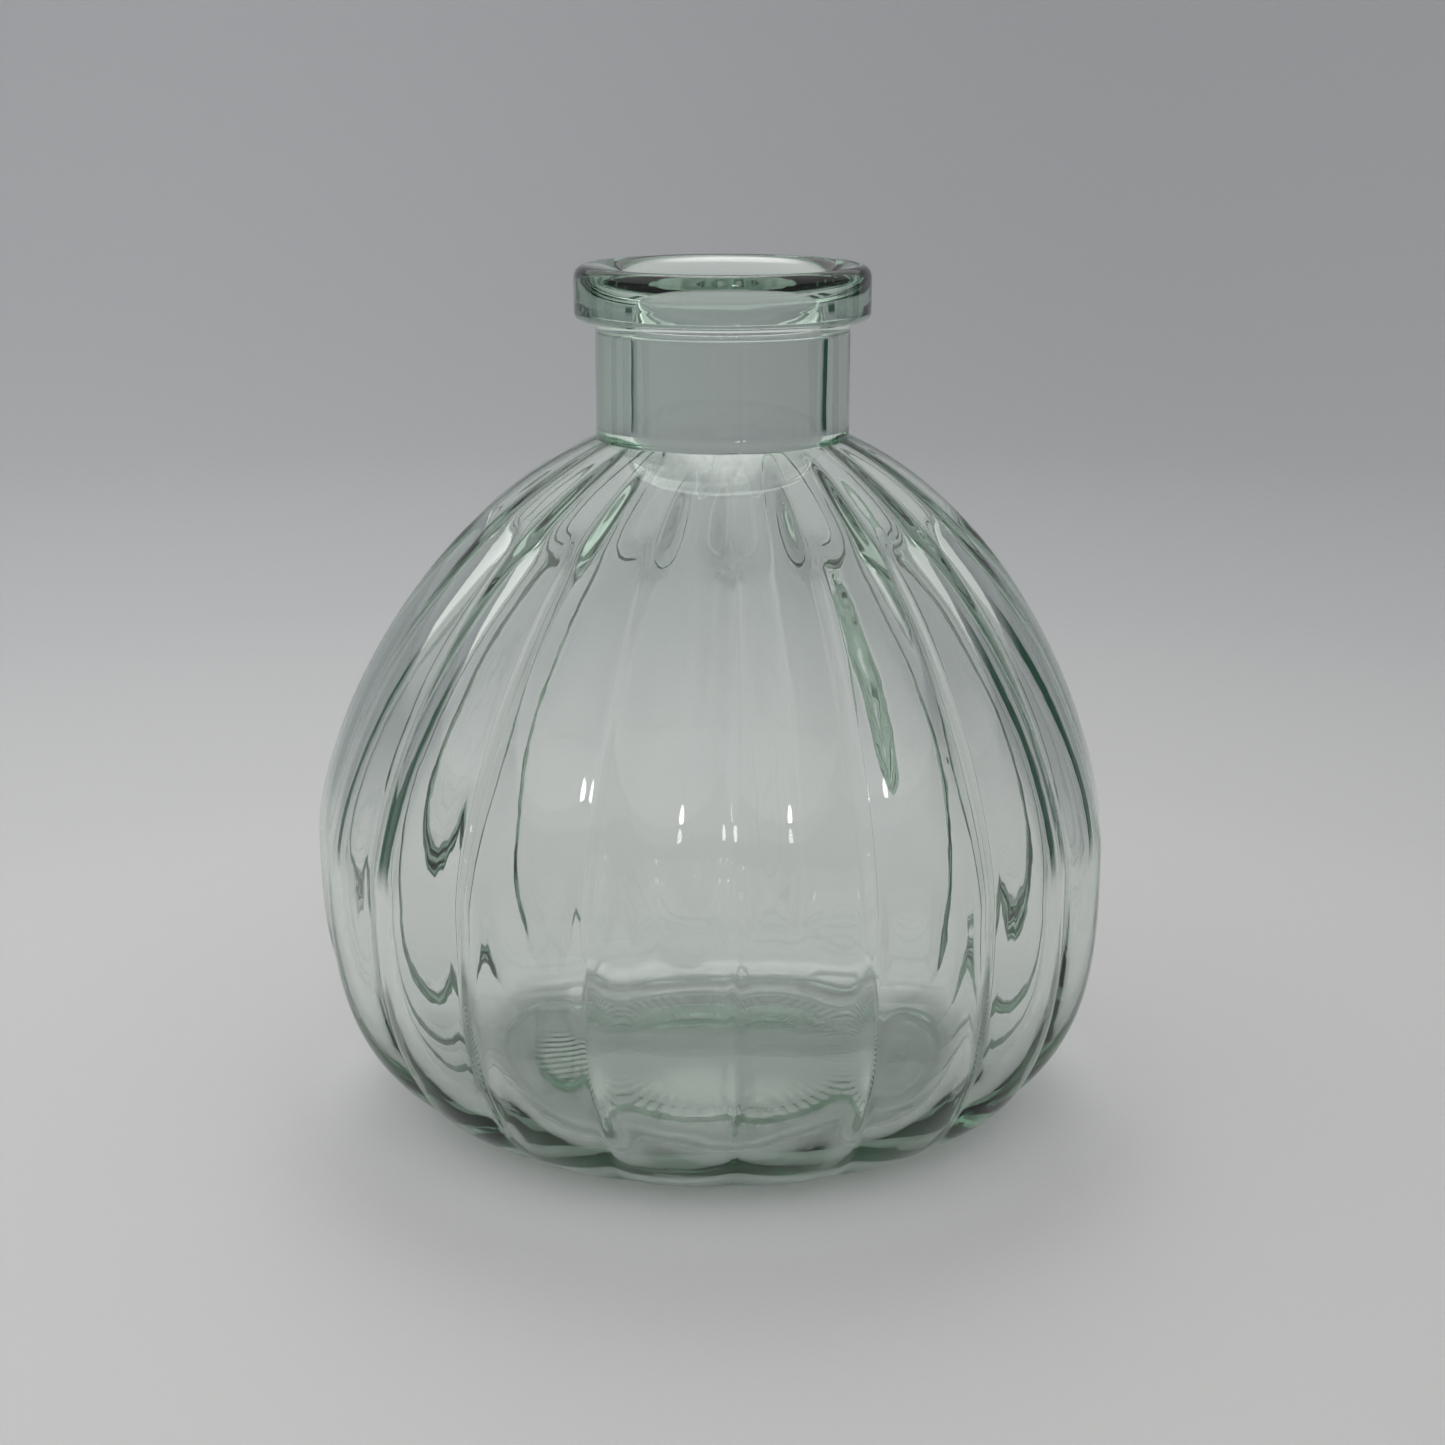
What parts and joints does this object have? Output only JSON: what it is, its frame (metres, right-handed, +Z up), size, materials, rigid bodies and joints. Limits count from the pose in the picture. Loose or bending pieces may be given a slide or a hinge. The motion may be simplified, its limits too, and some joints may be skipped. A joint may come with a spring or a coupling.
{
  "type": "bud vase",
  "caption": "Low round bud vase of clear glass with ribbed walls, a short straight neck and a thick rounded lip; holds a few cut stems in water.",
  "frame": {"origin": "centre of the underside, on the surface that the vase stands on", "axes": "+Z up the vase's axis; -Y towards the front, where a groove carries the mould seam"},
  "size_m": [0.094, 0.093, 0.1],
  "materials": {
    "clear_glass": "fire-polished clear soda-lime glass with a faint green tint"
  },
  "bodies": {
    "root": {"lip_ring": "clear_glass", "neck": "clear_glass", "shoulder": "clear_glass", "ribbed_body": "clear_glass", "heel": "clear_glass", "base": "clear_glass"}
  },
  "joints": []
}
